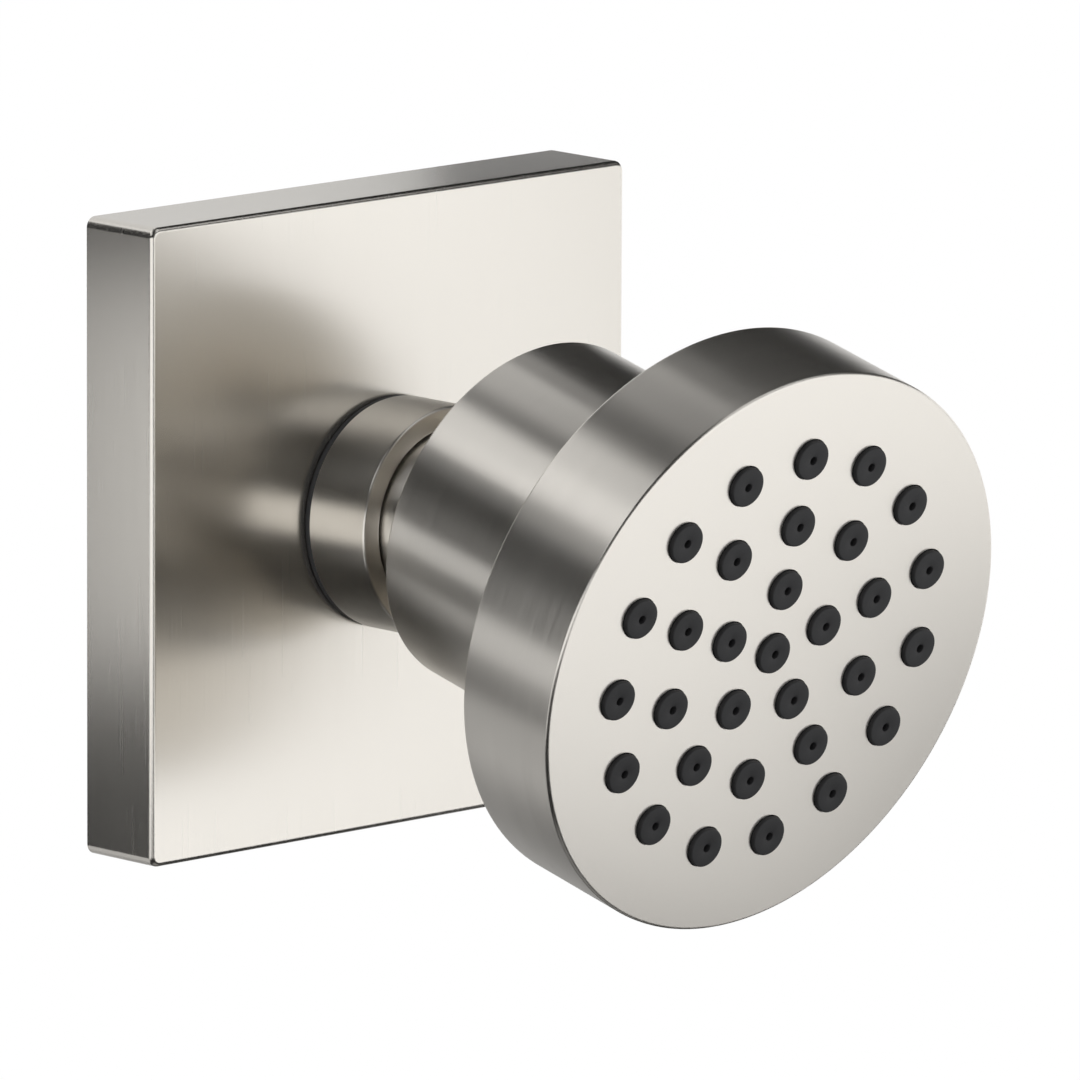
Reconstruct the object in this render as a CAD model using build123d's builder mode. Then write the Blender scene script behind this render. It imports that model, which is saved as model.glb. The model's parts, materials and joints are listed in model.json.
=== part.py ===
from build123d import *

import os
from math import cos, radians, sin, tan

# Shower body jet: a spray head on a ball joint, on a square wall plate.
# The wall is the plane y = 0 and the jet stands out along -Y, with +Z up.
# The origin is the middle of the plate's back, on the axis of the inlet.

# Wall plate and its gasket
plate_side = 60.0
plate_depth = 9.0
plate_corner = 1.0
plate_edge = 0.5
plate_face_wall = 2.5
plate_rim_wall = 2.2
hollow_corner = 1.5
gasket_width = 2.2
gasket_depth = 2.0
gasket_ledge = 1.2

# Sleeve and the rubber ring at its foot
ring_depth = 0.8
ring_inset = 0.05
sleeve_length = 7.4
sleeve_wall = 2.0
sleeve_thread_wall = 1.45
sleeve_lip = 2.8
sleeve_edge = 0.25

# Inlet nipple, with a G 1/2 thread behind the wall
thread_r = 10.4775
thread_lead = 1.0
thread_relief = 1.3
thread_seal_depth = 1.3
thread_seal_recess = 0.2
inlet_wall = 2.0775
collar_step = 2.5225
collar_sides = 6
collar_gap = 1.5
nipple_chamfer = 0.5

# Stem that turns in the nipple, from its spigot to the ball
neck_shoulder = 2.35
neck_gap = 0.3
neck_straight = 2.0
neck_reach = 18.8
neck_half_angle = 31.5
stem_wall = 1.4
stem_bore_length = 16.0
stem_ring_depth = 4.0
stem_ring_pitch = 5.0
stem_groove_depth = 1.45
stem_groove_width = 1.9
slide_washer_depth = 1.0
clip_depth = 0.9
clip_bite = 0.8
clip_reach = 0.45
clip_gap_angle = 60.0
spigot_tail = 1.1

# Filter and flow regulator in the inlet
regulator_gap = 2.4
regulator_length = 6.0
regulator_shoulder = 0.5
regulator_rim = 1.0
regulator_floor = 1.5
regulator_post_r = 3.0
regulator_post_end = 1.0
regulator_hole_r = 0.7
regulator_holes = 8
regulator_ring_r = 0.8
strainer_depth = 2.5
strainer_shoulder = 1.0
strainer_land = 2.4
mesh_depth = 0.35
mesh_grip = 1.0
mesh_hole_r = 0.55
mesh_pitch = 1.9
mesh_rings = 2
mesh_first_ring = 6

# Ball joint
ball_r = 11.5
head_tilt = 14.5
swing_limit = 20.0
swing_margin = 2.0
ball_mouth_angle = 23.0
ball_mouth_depth = 1.6
seat_clearance = 0.1
seat_land_angle = 8.5
thrust_front_angle = 87.0
seal_margin_angle = 3.0
seal_outer_angle = 75.0
seal_back = 1.34
nut_depth = 3.65
nut_rim = 2.61
nut_relief = 0.15
spanner_hole_r = 0.8
spanner_hole_depth = 1.8
spanner_holes = 4
spring_wall = 0.5
spring_rise = 0.7
spring_overlap = 1.0

# Spray head
barrel_wall = 2.0
barrel_overhang = 0.2
barrel_edge = 0.3
web_wall = 2.9
web_hole_r = 8.0
throat_length = 2.0
throat_mouth_r = 13.0
flange_depth = 3.5
disc_r = 27.5
disc_edge = 0.3
cup_wall = 2.0
cup_step = 2.1
cup_seal_gap = 0.4
cup_ring_r = 0.9
face_wall = 2.0
chamber_depth = 2.5
backing_depth = 1.9
backing_rim = 2.4
mat_depth = 1.6

# Nozzles: one in the middle and three rings, each with a nozzle straight up
face_margin = 8.3
outer_ring_offset = 0.3
inner_ring_count = 5
middle_ring_count = 10
outer_ring_count = 15
nozzle_r = 1.9
nozzle_gap = 0.1
nozzle_rise = 0.45
nozzle_round = 0.25
jet_r = 0.4
jet_length = 1.6
feed_r = 1.2
feed_taper = 8.0

# Clearances
thread_clearance = 0.05
slip_clearance = 0.1
seal_clearance = 0.03
plate_hole_clearance = 0.3

# Distances from the wall, positive outwards
hollow_depth = plate_depth - plate_face_wall
collar_back = thread_seal_recess + thread_seal_depth
collar_front = hollow_depth - collar_gap
sleeve_start = plate_depth + ring_depth
sleeve_end = sleeve_start + sleeve_length
lip_start = sleeve_end - sleeve_lip
stub_end = lip_start - slip_clearance
neck_start = stub_end + slide_washer_depth
neck_end = sleeve_end + neck_straight
pivot_depth = sleeve_end + neck_reach
stem_bore_back = stub_end - stem_bore_length
clip_front = stem_bore_back - slip_clearance
clip_back = clip_front - clip_depth
spigot_end = clip_back - spigot_tail
regulator_front = spigot_end - regulator_gap
regulator_back = regulator_front - regulator_length
inlet_end = regulator_back - strainer_depth

# Radii about the inlet's axis
relief_r = thread_r - thread_relief
collar_r = thread_r + collar_step
strainer_bore_r = thread_r - inlet_wall
strainer_r = strainer_bore_r - slip_clearance
strainer_hole_r = strainer_bore_r - strainer_land
regulator_bore_r = strainer_bore_r - strainer_shoulder
regulator_r = regulator_bore_r - slip_clearance
clip_bore_r = regulator_bore_r - regulator_shoulder
clip_r = clip_bore_r - slip_clearance
spigot_r = clip_r - clip_reach
clip_groove_r = spigot_r - clip_bite
stem_bore_r = spigot_r + thread_clearance
stem_groove_r = spigot_r - stem_groove_depth
waterway_r = stem_groove_r - stem_wall
neck_r = spigot_r + neck_shoulder
lip_r = neck_r + neck_gap
sleeve_r = lip_r + sleeve_wall
sleeve_thread_r = sleeve_r - sleeve_thread_wall
stub_r = sleeve_thread_r - thread_clearance

# Ball and its seats, measured from the ball's centre
seat_r = ball_r + seat_clearance
neck_root_r = ball_r * sin(radians(neck_half_angle))
neck_root_back = ball_r * cos(radians(neck_half_angle))
ball_mouth_r = ball_r * sin(radians(ball_mouth_angle))
ball_mouth_front = ball_r * cos(radians(ball_mouth_angle))
opening_angle = neck_half_angle + swing_limit + swing_margin
retain_angle = opening_angle + seat_land_angle
seal_inner_angle = ball_mouth_angle + swing_limit + seal_margin_angle

# Distances along the head's axis from the ball's centre, positive towards the spray
thrust_front = -seat_r * cos(radians(thrust_front_angle))
thrust_back = -seat_r * cos(radians(retain_angle))
nut_back = thrust_back - nut_depth
barrel_back = nut_back - barrel_overhang
seal_back_edge = seat_r * cos(radians(seal_outer_angle))
seal_lip = seat_r * cos(radians(seal_inner_angle))
seal_front = seal_lip + seal_back
web_back = seal_front + spring_rise + spring_wall
disc_back = web_back + web_wall
flange_front = disc_back + flange_depth
backing_back = flange_front + chamber_depth
mat_back = backing_back + backing_depth
face_back = mat_back + mat_depth
disc_front = face_back + face_wall
nozzle_tip = disc_front + nozzle_rise

# Radii about the head's axis
nut_front_r = seat_r * sin(radians(retain_angle)) + nut_relief
nut_opening_r = -nut_back * tan(radians(opening_angle))
nut_r = max(nut_opening_r, nut_front_r) + nut_rim
barrel_bore_r = nut_r + slip_clearance
barrel_r = barrel_bore_r + barrel_wall
seat_ring_r = barrel_bore_r - slip_clearance
seal_hole_r = seat_r * sin(radians(seal_inner_angle))
cup_bore_r = disc_r - cup_wall
flange_r = cup_bore_r - slip_clearance
chamber_r = cup_bore_r - cup_step
rebate_r = flange_r - 2 * cup_ring_r - slip_clearance
rebate_back = flange_front + cup_seal_gap - 2 * cup_ring_r - slip_clearance
mat_r = chamber_r - slip_clearance
outer_ring_r = disc_r - face_margin
ring_step = (outer_ring_r - outer_ring_offset) / 3
nozzle_rings = [
    (0.0, 1),
    (ring_step, inner_ring_count),
    (2 * ring_step, middle_ring_count),
    (outer_ring_r, outer_ring_count),
]

# Section planes hold the axis: local x is the radius and local y the distance along it
pivot = Vector(0, -pivot_depth, 0)
head_direction = Vector(0, -cos(radians(head_tilt)), -sin(radians(head_tilt)))
wall_section = Plane(origin=(0, 0, 0), x_dir=(1, 0, 0), z_dir=(0, 0, -1))
head_section = Plane(
    origin=pivot, x_dir=(1, 0, 0), z_dir=(0, sin(radians(head_tilt)), -cos(radians(head_tilt)))
)
wall_axis = Axis((0, 0, 0), (0, -1, 0))
head_axis = Axis(pivot, head_direction)


def wall_plane(distance):
    """The plane across the inlet's axis at a distance from the wall, facing outwards."""
    return Plane(origin=(0, -distance, 0), x_dir=(1, 0, 0), z_dir=(0, -1, 0))


def head_plane(distance):
    """The plane across the head's axis at a distance from the ball's centre, facing the spray."""
    return Plane(origin=pivot + head_direction * distance, x_dir=(1, 0, 0), z_dir=head_direction)


def nozzle_circles(radius):
    """Adds a circle for each nozzle to the sketch that is being made."""
    for ring_radius, count in nozzle_rings:
        with PolarLocations(ring_radius, count, start_angle=90):
            Circle(radius)


def ring_box(inner, outer, back, front):
    """Adds the section of a plain ring to the sketch that is being made."""
    with Locations(((inner + outer) / 2, (back + front) / 2)):
        Rectangle(outer - inner, front - back)


os.makedirs("parts", exist_ok=True)

# Wall plate: a square cap with a hollow back, a ledge for the gasket and a hole for the nipple
recess_side = plate_side - 2 * plate_rim_wall
hollow_side = recess_side - 2 * gasket_ledge
with BuildPart() as wall_plate:
    with BuildSketch(wall_plane(0)):
        RectangleRounded(plate_side, plate_side, plate_corner)
    extrude(amount=plate_depth)
    fillet(wall_plate.faces().sort_by(wall_axis)[-1].edges(), plate_edge)
    with BuildSketch(wall_plane(0)):
        RectangleRounded(recess_side, recess_side, hollow_corner)
    extrude(amount=gasket_depth, mode=Mode.SUBTRACT)
    with BuildSketch(wall_plane(0)):
        RectangleRounded(hollow_side, hollow_side, hollow_corner)
    extrude(amount=hollow_depth, mode=Mode.SUBTRACT)
    with BuildSketch(wall_plane(0)):
        Circle(stub_r + plate_hole_clearance)
    extrude(amount=plate_depth, mode=Mode.SUBTRACT)
wall_plate.part.label = "wall_plate"
export_step(wall_plate.part, "parts/wall_plate.step")

# Plate gasket: a square rubber frame in the plate's ledge, flush with the wall
gasket_side = recess_side - 2 * slip_clearance
gasket_hole_side = gasket_side - 2 * gasket_width
with BuildPart() as plate_gasket:
    with BuildSketch(wall_plane(0)):
        RectangleRounded(gasket_side, gasket_side, hollow_corner)
        RectangleRounded(gasket_hole_side, gasket_hole_side, hollow_corner, mode=Mode.SUBTRACT)
    extrude(amount=gasket_depth)
plate_gasket.part.label = "plate_gasket"
export_step(plate_gasket.part, "parts/plate_gasket.step")

# Sleeve ring: the black rubber band between plate and sleeve
with BuildPart() as sleeve_ring:
    with BuildSketch(wall_section):
        ring_box(stub_r + plate_hole_clearance, sleeve_r - ring_inset, plate_depth, sleeve_start)
    revolve(axis=wall_axis)
sleeve_ring.part.label = "sleeve_ring"
export_step(sleeve_ring.part, "parts/sleeve_ring.step")

# Sleeve: threaded on the nipple's stub, with a lip round the neck
with BuildPart() as sleeve:
    with BuildSketch(wall_section):
        with BuildLine():
            Polyline(
                (sleeve_thread_r, sleeve_start),
                (sleeve_thread_r, lip_start),
                (lip_r, lip_start),
                (lip_r, sleeve_end),
                (sleeve_r, sleeve_end),
                (sleeve_r, sleeve_start),
                close=True,
            )
        make_face()
    revolve(axis=wall_axis)
    fillet(sleeve.faces().sort_by(wall_axis)[-1].edges(), sleeve_edge)
sleeve.part.label = "sleeve"
export_step(sleeve.part, "parts/sleeve.step")

# Inlet nipple: threaded tail with a relief groove, hexagon collar, stub for the sleeve and a stepped bore
with BuildPart() as inlet_nipple:
    with BuildSketch(wall_section):
        with BuildLine():
            Polyline(
                (strainer_bore_r, inlet_end),
                (strainer_bore_r, regulator_back),
                (regulator_bore_r, regulator_back),
                (regulator_bore_r, regulator_front),
                (clip_bore_r, regulator_front),
                (clip_bore_r, stem_bore_back),
                (stem_bore_r, stem_bore_back),
                (stem_bore_r, stub_end),
                (stub_r - nipple_chamfer, stub_end),
                (stub_r, stub_end - nipple_chamfer),
                (stub_r, collar_back),
                (relief_r, collar_back),
                (relief_r, 0),
                (thread_r, 0),
                (thread_r, inlet_end + thread_lead),
                (thread_r - thread_lead, inlet_end),
                close=True,
            )
        make_face()
    revolve(axis=wall_axis)
    with BuildSketch(wall_plane(collar_back)):
        RegularPolygon(collar_r, collar_sides, major_radius=False)
        Circle(stub_r, mode=Mode.SUBTRACT)
    extrude(amount=collar_front - collar_back)
inlet_nipple.part.label = "inlet_nipple"
export_step(inlet_nipple.part, "parts/inlet_nipple.step")

# Thread seal: a flat ring against the collar, just inside the wall plane
with BuildPart() as thread_seal:
    with BuildSketch(wall_section):
        ring_box(thread_r + slip_clearance, collar_r, thread_seal_recess, collar_back)
    revolve(axis=wall_axis)
thread_seal.part.label = "thread_seal"
export_step(thread_seal.part, "parts/thread_seal.step")

# Strainer washer: a rubber ring in the inlet with a groove that grips the mesh
mesh_middle = inlet_end + strainer_depth / 2
mesh_r = strainer_hole_r + mesh_grip
with BuildPart() as strainer_washer:
    with BuildSketch(wall_section):
        ring_box(strainer_hole_r, strainer_r, inlet_end, regulator_back)
    revolve(axis=wall_axis)
    with BuildSketch(wall_plane(mesh_middle)):
        Circle(mesh_r)
    extrude(amount=mesh_depth / 2, both=True, mode=Mode.SUBTRACT)
strainer_washer.part.label = "strainer_washer"
export_step(strainer_washer.part, "parts/strainer_washer.step")

# Strainer mesh: a thin perforated steel disc
with BuildPart() as strainer_mesh:
    with BuildSketch(wall_plane(mesh_middle)):
        Circle(mesh_r)
        Circle(mesh_hole_r, mode=Mode.SUBTRACT)
        for ring in range(1, mesh_rings + 1):
            with PolarLocations(ring * mesh_pitch, ring * mesh_first_ring):
                Circle(mesh_hole_r, mode=Mode.SUBTRACT)
    extrude(amount=mesh_depth / 2, both=True)
strainer_mesh.part.label = "strainer_mesh"
export_step(strainer_mesh.part, "parts/strainer_mesh.step")

# Flow regulator: a plastic cup with a post and a ring of holes under a rubber ring
regulator_floor_back = regulator_front - regulator_floor
regulator_well_r = regulator_r - regulator_rim
regulator_ring_place = regulator_floor_back - regulator_ring_r - seal_clearance
regulator_ring_middle = regulator_post_r + regulator_ring_r + seal_clearance
with BuildPart() as flow_regulator:
    with BuildSketch(wall_section):
        with BuildLine():
            Polyline(
                (0, regulator_front),
                (regulator_r, regulator_front),
                (regulator_r, regulator_back),
                (regulator_well_r, regulator_back),
                (regulator_well_r, regulator_floor_back),
                (regulator_post_r, regulator_floor_back),
                (regulator_post_r, regulator_back + regulator_post_end),
                (0, regulator_back + regulator_post_end),
                close=True,
            )
        make_face()
    revolve(axis=wall_axis)
    with BuildSketch(wall_plane(regulator_front)):
        with PolarLocations(regulator_ring_middle, regulator_holes):
            Circle(regulator_hole_r)
    extrude(amount=-regulator_floor, mode=Mode.SUBTRACT)
flow_regulator.part.label = "flow_regulator"
export_step(flow_regulator.part, "parts/flow_regulator.step")

# Regulator ring: a rubber ring over the holes, which closes them as the pressure rises
with BuildPart() as regulator_o_ring:
    with BuildSketch(wall_section):
        with Locations((regulator_ring_middle, regulator_ring_place)):
            Circle(regulator_ring_r)
    revolve(axis=wall_axis)
regulator_o_ring.part.label = "regulator_o_ring"
export_step(regulator_o_ring.part, "parts/regulator_o_ring.step")

# Ball stem: spigot with two ring grooves and a clip groove, neck, taper, ball and waterway
stem_ring_places = [
    stub_end - stem_ring_depth,
    stub_end - stem_ring_depth - stem_ring_pitch,
]
ball_back = pivot_depth - neck_root_back
ball_front = pivot_depth + ball_mouth_front
with BuildPart() as ball_stem:
    with BuildSketch(wall_section):
        with BuildLine():
            Polyline(
                (ball_mouth_r, ball_front),
                (waterway_r, ball_front - ball_mouth_depth),
                (waterway_r, spigot_end),
                (spigot_r, spigot_end),
                (spigot_r, neck_start),
                (neck_r, neck_start),
                (neck_r, neck_end),
                (neck_root_r, ball_back),
            )
            ThreePointArc((neck_root_r, ball_back), (ball_r, pivot_depth), (ball_mouth_r, ball_front))
        make_face()
    revolve(axis=wall_axis)
    with BuildSketch(wall_section):
        for place in stem_ring_places:
            half_groove = stem_groove_width / 2
            ring_box(stem_groove_r, spigot_r, place - half_groove, place + half_groove)
        ring_box(clip_groove_r, spigot_r, clip_back, clip_front)
    revolve(axis=wall_axis, mode=Mode.SUBTRACT)
ball_stem.part.label = "ball_stem"
export_step(ball_stem.part, "parts/ball_stem.step")

# Stem rings: two rubber rings that seal the spigot in the nipple
with BuildPart() as stem_o_rings:
    with BuildSketch(wall_section):
        with Locations(*[((stem_groove_r + stem_bore_r) / 2, place) for place in stem_ring_places]):
            Circle((stem_bore_r - stem_groove_r) / 2 - seal_clearance)
    revolve(axis=wall_axis)
stem_o_rings.part.label = "stem_o_rings"
export_step(stem_o_rings.part, "parts/stem_o_rings.step")

# Stem clip: an open spring ring behind the nipple's shoulder
with BuildPart() as stem_clip:
    with BuildSketch(wall_section):
        ring_box(clip_groove_r + seal_clearance, clip_r, clip_back, clip_front)
    revolve(axis=wall_axis, revolution_arc=360 - clip_gap_angle)
stem_clip.part.label = "stem_clip"
export_step(stem_clip.part, "parts/stem_clip.step")

# Slide washer: a plastic ring between the nipple's end and the neck's shoulder
with BuildPart() as slide_washer:
    with BuildSketch(wall_section):
        ring_box(spigot_r + slip_clearance, neck_r - slip_clearance, stub_end, neck_start)
    revolve(axis=wall_axis)
slide_washer.part.label = "slide_washer"
export_step(slide_washer.part, "parts/slide_washer.step")

# Thrust ring: a plastic ring with a round seat that holds the ball from behind
with BuildPart() as thrust_ring:
    with BuildSketch(head_section):
        ring_box(0, seat_ring_r, thrust_back, thrust_front)
        Circle(seat_r, mode=Mode.SUBTRACT)
    revolve(axis=head_axis)
thrust_ring.part.label = "thrust_ring"
export_step(thrust_ring.part, "parts/thrust_ring.step")

# Ball seal: a rubber ring with a round seat in front of the ball
with BuildPart() as ball_seal:
    with BuildSketch(head_section):
        ring_box(seal_hole_r, seat_ring_r, seal_back_edge, seal_front)
        Circle(seat_r, mode=Mode.SUBTRACT)
    revolve(axis=head_axis)
ball_seal.part.label = "ball_seal"
export_step(ball_seal.part, "parts/ball_seal.step")

# Retaining nut: a threaded ring with a flared opening for the neck and holes for a pin spanner
with BuildPart() as retaining_nut:
    with BuildSketch(head_section):
        with BuildLine():
            Polyline(
                (nut_front_r, thrust_back),
                (nut_r, thrust_back),
                (nut_r, nut_back),
                (nut_opening_r, nut_back),
                close=True,
            )
        make_face()
    revolve(axis=head_axis)
    with BuildSketch(head_plane(nut_back)):
        with PolarLocations(nut_r - nut_rim / 2, spanner_holes):
            Circle(spanner_hole_r)
    extrude(amount=spanner_hole_depth, mode=Mode.SUBTRACT)
retaining_nut.part.label = "retaining_nut"
export_step(retaining_nut.part, "parts/retaining_nut.step")

# Spring washer: a coned steel ring that presses the seal on the ball
spring_inner_r = seal_hole_r + spring_overlap
spring_outer_r = barrel_bore_r - slip_clearance
with BuildPart() as spring_washer:
    with BuildSketch(head_section):
        with BuildLine():
            Polyline(
                (spring_inner_r, seal_front),
                (spring_outer_r, seal_front + spring_rise),
                (spring_outer_r, web_back),
                (spring_inner_r, web_back - spring_rise),
                close=True,
            )
        make_face()
    revolve(axis=head_axis)
spring_washer.part.label = "spring_washer"
export_step(spring_washer.part, "parts/spring_washer.step")

# Head body: barrel, web with a flared throat, and the flange that closes the cup
with BuildPart() as head_body:
    with BuildSketch(head_section):
        with BuildLine():
            Polyline(
                (barrel_bore_r, barrel_back),
                (barrel_bore_r, web_back),
                (web_hole_r, web_back),
                (web_hole_r, web_back + throat_length),
                (throat_mouth_r, flange_front),
                (rebate_r, flange_front),
                (rebate_r, rebate_back),
                (flange_r, rebate_back),
                (flange_r, disc_back),
                (barrel_r, disc_back),
                (barrel_r, barrel_back),
                close=True,
            )
        make_face()
    revolve(axis=head_axis)
    fillet(head_body.faces().sort_by(head_axis)[0].edges().sort_by(SortBy.RADIUS)[-1], barrel_edge)
head_body.part.label = "head_body"
export_step(head_body.part, "parts/head_body.step")

# Cup ring: a rubber ring in the corner between flange and cup
with BuildPart() as cup_o_ring:
    with BuildSketch(head_section):
        with Locations(((rebate_r + cup_bore_r) / 2, (rebate_back + flange_front + cup_seal_gap) / 2)):
            Circle(cup_ring_r)
    revolve(axis=head_axis)
cup_o_ring.part.label = "cup_o_ring"
export_step(cup_o_ring.part, "parts/cup_o_ring.step")

# Spray cup: rim and face in one, with a hole for each nozzle
with BuildPart() as spray_cup:
    with BuildSketch(head_section):
        with BuildLine():
            Polyline(
                (0, disc_front),
                (disc_r, disc_front),
                (disc_r, disc_back),
                (cup_bore_r, disc_back),
                (cup_bore_r, flange_front + cup_seal_gap),
                (chamber_r, flange_front + cup_seal_gap),
                (chamber_r, face_back),
                (0, face_back),
                close=True,
            )
        make_face()
    revolve(axis=head_axis)
    fillet(spray_cup.edges().filter_by(GeomType.CIRCLE).group_by(SortBy.RADIUS)[-1], disc_edge)
    with BuildSketch(head_plane(disc_front)):
        nozzle_circles(nozzle_r + nozzle_gap)
    extrude(amount=-face_wall, mode=Mode.SUBTRACT)
spray_cup.part.label = "spray_cup"
export_step(spray_cup.part, "parts/spray_cup.step")

# Nozzle mat: a silicone sheet with rounded nozzles that stand out of the face
jet_back = nozzle_tip - jet_length
with BuildPart() as nozzle_mat:
    with BuildSketch(head_plane(mat_back)):
        Circle(mat_r)
    extrude(amount=mat_depth)
    with BuildSketch(head_plane(face_back)):
        nozzle_circles(nozzle_r)
    extrude(amount=nozzle_tip - face_back)
    fillet(nozzle_mat.edges().filter_by(GeomType.CIRCLE).group_by(head_axis)[-1], nozzle_round)
    with BuildSketch(head_plane(mat_back)):
        nozzle_circles(feed_r)
    extrude(amount=jet_back - mat_back, taper=feed_taper, mode=Mode.SUBTRACT)
    with BuildSketch(head_plane(jet_back)):
        nozzle_circles(jet_r)
    extrude(amount=jet_length, mode=Mode.SUBTRACT)
nozzle_mat.part.label = "nozzle_mat"
export_step(nozzle_mat.part, "parts/nozzle_mat.step")

# Backing plate: holds the mat against the face, stands on the flange and feeds each nozzle
with BuildPart() as backing_plate:
    with BuildSketch(head_section):
        ring_box(0, mat_r, backing_back, mat_back)
        ring_box(mat_r - backing_rim, mat_r, flange_front, backing_back)
    revolve(axis=head_axis)
    with BuildSketch(head_plane(mat_back)):
        nozzle_circles(feed_r)
    extrude(amount=-backing_depth, mode=Mode.SUBTRACT)
backing_plate.part.label = "backing_plate"
export_step(backing_plate.part, "parts/backing_plate.step")
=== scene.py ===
"""Shower body jet: turned and bevelled meshes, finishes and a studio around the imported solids."""
import json
from math import asin, atan2, cos, degrees, hypot, pi, radians, sin, tan

import bpy
from bpy.props import FloatProperty, FloatVectorProperty, IntProperty, PointerProperty
from mathutils import Matrix, Vector


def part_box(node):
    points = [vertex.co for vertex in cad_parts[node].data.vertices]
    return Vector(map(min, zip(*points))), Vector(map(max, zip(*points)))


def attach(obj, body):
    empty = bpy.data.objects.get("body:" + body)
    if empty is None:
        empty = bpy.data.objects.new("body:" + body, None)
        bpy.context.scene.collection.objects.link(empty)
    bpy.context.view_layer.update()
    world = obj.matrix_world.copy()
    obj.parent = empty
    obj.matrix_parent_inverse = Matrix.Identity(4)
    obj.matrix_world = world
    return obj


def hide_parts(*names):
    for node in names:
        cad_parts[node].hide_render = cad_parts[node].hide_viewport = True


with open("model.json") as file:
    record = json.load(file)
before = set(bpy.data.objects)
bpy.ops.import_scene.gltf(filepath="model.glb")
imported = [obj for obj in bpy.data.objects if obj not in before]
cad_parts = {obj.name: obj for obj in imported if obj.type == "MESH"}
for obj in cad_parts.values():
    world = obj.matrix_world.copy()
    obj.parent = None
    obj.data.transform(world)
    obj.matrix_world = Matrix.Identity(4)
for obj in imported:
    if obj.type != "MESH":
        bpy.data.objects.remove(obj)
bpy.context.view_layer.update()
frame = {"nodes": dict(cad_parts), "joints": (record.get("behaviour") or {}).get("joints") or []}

bl_info = {
    "name": "Shower Body Jet",
    "version": (1, 0, 0),
    "blender": (4, 5, 0),
    "location": "3D View > Sidebar > Body Jet",
    "description": "Models and finishes a shower body jet around its solids",
    "category": "Object",
}

MM = 0.001
NEAR = 0.00002  # places this close, in metres, are the same place
DOUBLED = NEAR / 20  # points this close are merged
ON_PLANE = NEAR / 200  # points this close to a cutting plane lie on it

# How fine the meshes are: steps round small pieces, segments over rounded edges
HOLE_STEPS = 64
NOZZLE_STEPS = 56
OPENING_STEPS = 32
BALL_STEPS = 40
CORNER_SEGMENTS = 8
PLATE_SEGMENTS = 6
NOZZLE_SEGMENTS = 5
EDGE_SEGMENTS = 4
BAND_SEGMENTS = 3
JET_SEGMENTS = 2
SMOOTH_ANGLE = radians(35)

# Shapes that the panel leaves alone
RING_COUNTS = (1, 5, 10, 15)  # nozzles in the middle and on each ring
NOZZLE_SUNK = 0.2  # how deep a nozzle starts in its sheet, as a share of the sheet
JET_ROUND = 0.06 * MM  # edge round a jet's mouth
FLANK = radians(27.5)  # half angle of the thread
SPARE_TURNS = 2  # turns wound before the thread's free end
COLLAR_SIDES = 6
COLLAR_CHAMFER = pi / 6
FACING = 0.99  # faces this square to the head's axis are its front

# Axes of the object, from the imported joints: the wall's normal and the head's own axis
joints = {joint["name"]: joint for joint in frame["joints"]}
ORIGIN = Vector((0, 0, 0))
OUTWARDS = Vector((0, -1, 0))
PIVOT = Vector(joints["head_spin"]["pos_m"])
HEAD_AXIS = Vector(joints["head_spin"]["axis"]).normalized()
WALL_TILT = OUTWARDS.angle(Vector((0, 0, 1)))
HEAD_TILT = HEAD_AXIS.angle(Vector((0, 0, 1)))


def span(node, origin, axis):
    """How far a solid reaches along an axis, low and high, and its largest radius about that axis."""
    points = [vertex.co - origin for vertex in frame["nodes"][node].data.vertices]
    heights = [point.dot(axis) for point in points]
    radius = max((point - axis * height).length for point, height in zip(points, heights))
    return min(heights), max(heights), radius


plate_low, plate_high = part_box("wall_plate")
band_back, band_front, band_r = span("sleeve_ring", ORIGIN, OUTWARDS)
sleeve_back, sleeve_front, sleeve_r = span("sleeve", ORIGIN, OUTWARDS)
inlet_back, inlet_front, _ = span("inlet_nipple", ORIGIN, OUTWARDS)
_, strainer_front, strainer_r = span("strainer_washer", ORIGIN, OUTWARDS)
_, regulator_front, regulator_r = span("flow_regulator", ORIGIN, OUTWARDS)
clip_back, clip_front, clip_r = span("stem_clip", ORIGIN, OUTWARDS)
spigot_end, _, ball_r = span("ball_stem", ORIGIN, OUTWARDS)
barrel_back, flange_front, flange_r = span("head_body", PIVOT, HEAD_AXIS)
disc_back, disc_front, disc_r = span("spray_cup", PIVOT, HEAD_AXIS)
mat_back, nozzle_tip, mat_r = span("nozzle_mat", PIVOT, HEAD_AXIS)


def length(name, description, default):
    """A size in metres that shows in the panel in the scene's units."""
    return FloatProperty(name=name, description=description, default=default, unit="LENGTH", precision=5)


def angle(name, description, default):
    """An angle, given in degrees, that shows in the panel as an angle."""
    return FloatProperty(name=name, description=description, default=radians(default), subtype="ANGLE")


def number(name, description, default):
    """A plain number."""
    return FloatProperty(name=name, description=description, default=default)


def colour(name, description, default):
    """A linear colour that shows in the panel as a swatch."""
    return FloatVectorProperty(
        name=name, description=description, default=default, size=3, min=0, max=1, subtype="COLOR"
    )


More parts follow.
